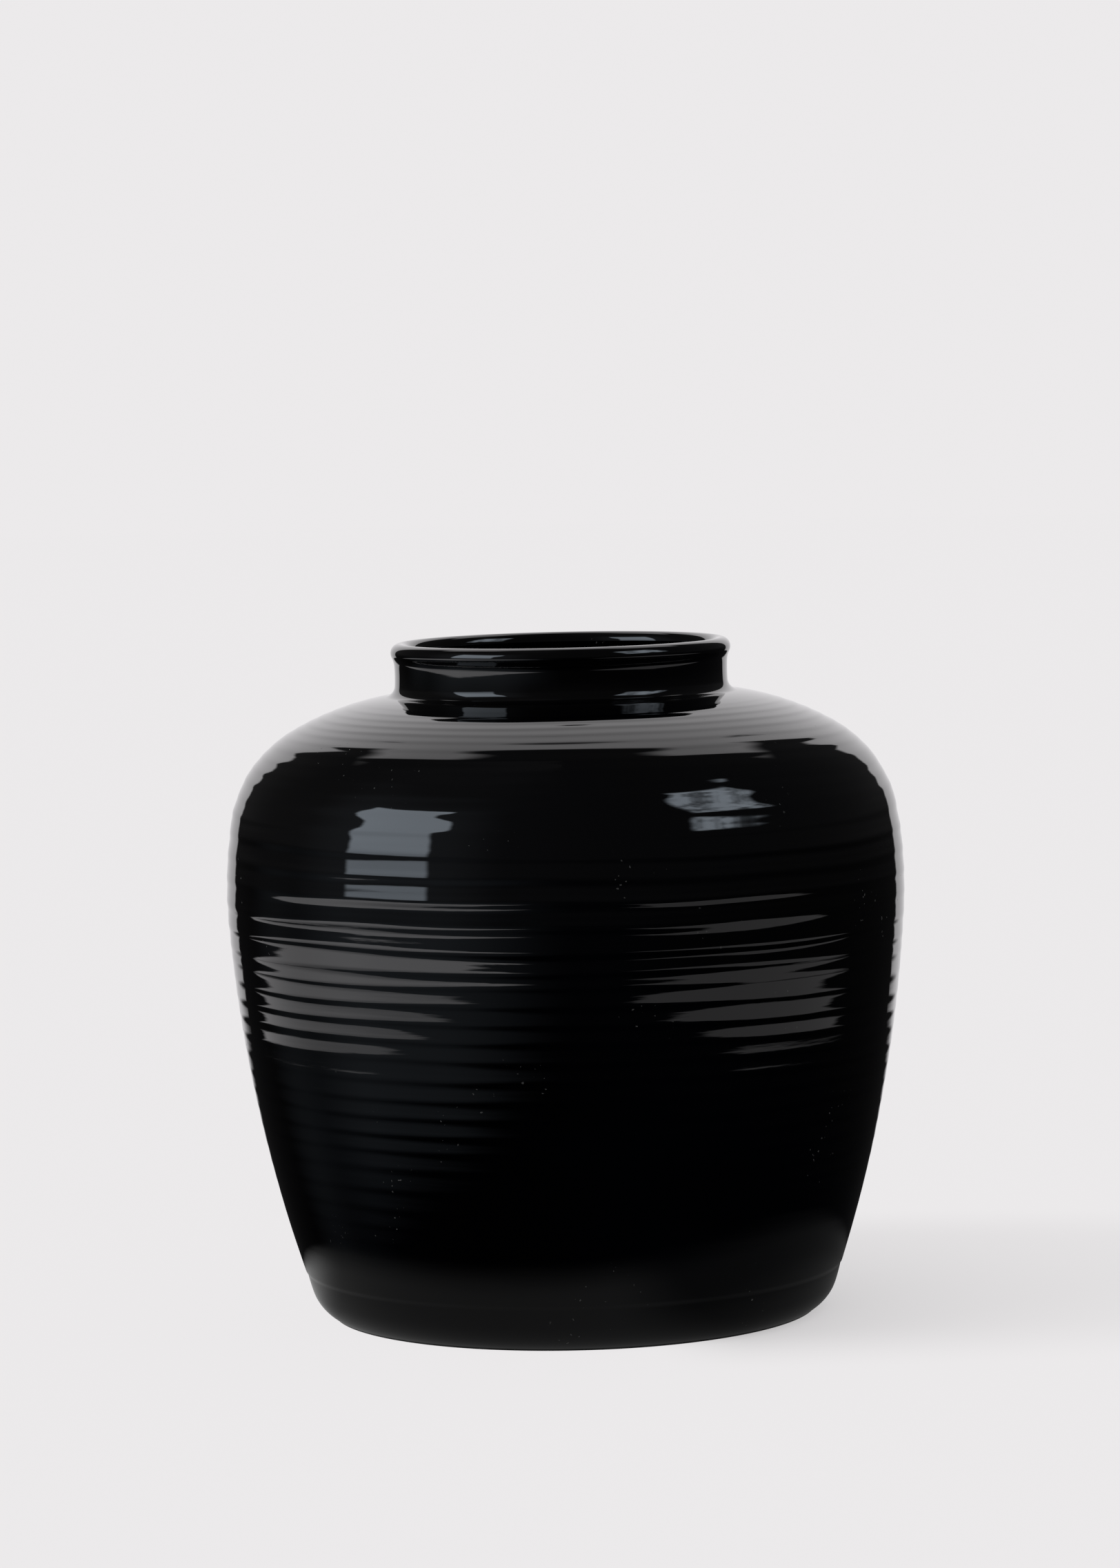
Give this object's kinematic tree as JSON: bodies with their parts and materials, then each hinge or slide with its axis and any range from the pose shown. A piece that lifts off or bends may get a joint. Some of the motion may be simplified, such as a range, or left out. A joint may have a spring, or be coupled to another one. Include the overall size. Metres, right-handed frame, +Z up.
{
  "type": "glazed storage jar",
  "caption": "Round wheel-thrown clay jar with a wide belly, sloping shoulder, short collared neck and rolled lip, glazed black inside and out.",
  "frame": {"origin": "on the table under the middle of the foot", "axes": "+Z up along the axis that the jar was turned about; X and Y are equivalent"},
  "size_m": [0.3, 0.3, 0.2984],
  "materials": {
    "black_glaze": "high-gloss blue-black glaze",
    "fired_clay": "bare fired stoneware, matt",
    "joint_slip": "fired clay slip, matt"
  },
  "bodies": {
    "root": {"foot_ring": "fired_clay", "foot_joint_slip": "joint_slip", "floor_disc": "fired_clay", "floor_joint_slip": "joint_slip", "base_wall": "fired_clay", "base_joint_slip": "joint_slip", "lower_wall": "fired_clay", "belly_joint_slip": "joint_slip", "belly_wall": "fired_clay", "shoulder_joint_slip": "joint_slip", "shoulder_ring": "fired_clay", "dome_joint_slip": "joint_slip", "shoulder_dome": "fired_clay", "neck_joint_slip": "joint_slip", "neck_collar": "fired_clay", "lip_joint_slip": "joint_slip", "rolled_lip": "fired_clay", "outer_glaze": "black_glaze", "liner_glaze": "black_glaze"}
  },
  "joints": []
}
